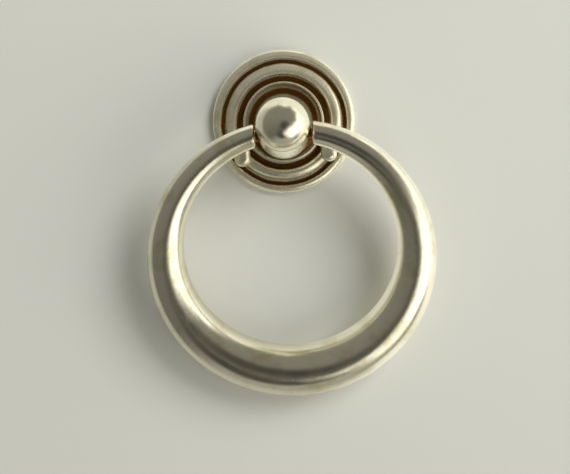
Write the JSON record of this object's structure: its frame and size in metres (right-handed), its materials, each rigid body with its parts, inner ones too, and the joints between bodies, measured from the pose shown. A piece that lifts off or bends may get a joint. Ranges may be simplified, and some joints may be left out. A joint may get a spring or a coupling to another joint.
{
  "type": "ring pull handle",
  "caption": "Drawer pull with a thick tapered ring that swings on pegs in a ball-headed post standing on a round beaded rosette, fixed by a screw from behind",
  "frame": {"origin": "middle of the rosette's back face, on the axis of the screw hole", "axes": "+Z points out of the drawer front, +Y towards the handle's top, and the ring hangs towards -Y; the ring swings about X"},
  "size_m": [0.06, 0.0733, 0.0245],
  "materials": {
    "antique_silver": "warm antique silver plate, polished on the high places, faintly tumbled",
    "antique_silver_patina": "the same plate, with dark brown patina left in the grooves"
  },
  "bodies": {
    "base": {"rosette": "antique_silver_patina", "post": "antique_silver"},
    "ring": {"ring": "antique_silver"}
  },
  "joints": [
    {"name": "ring_swing", "type": "hinge", "parent": "base", "child": "ring", "pos_m": [0, -0.0021, 0.01475], "axis": [-1, 0, 0], "range_deg": [0, 158]}
  ]
}
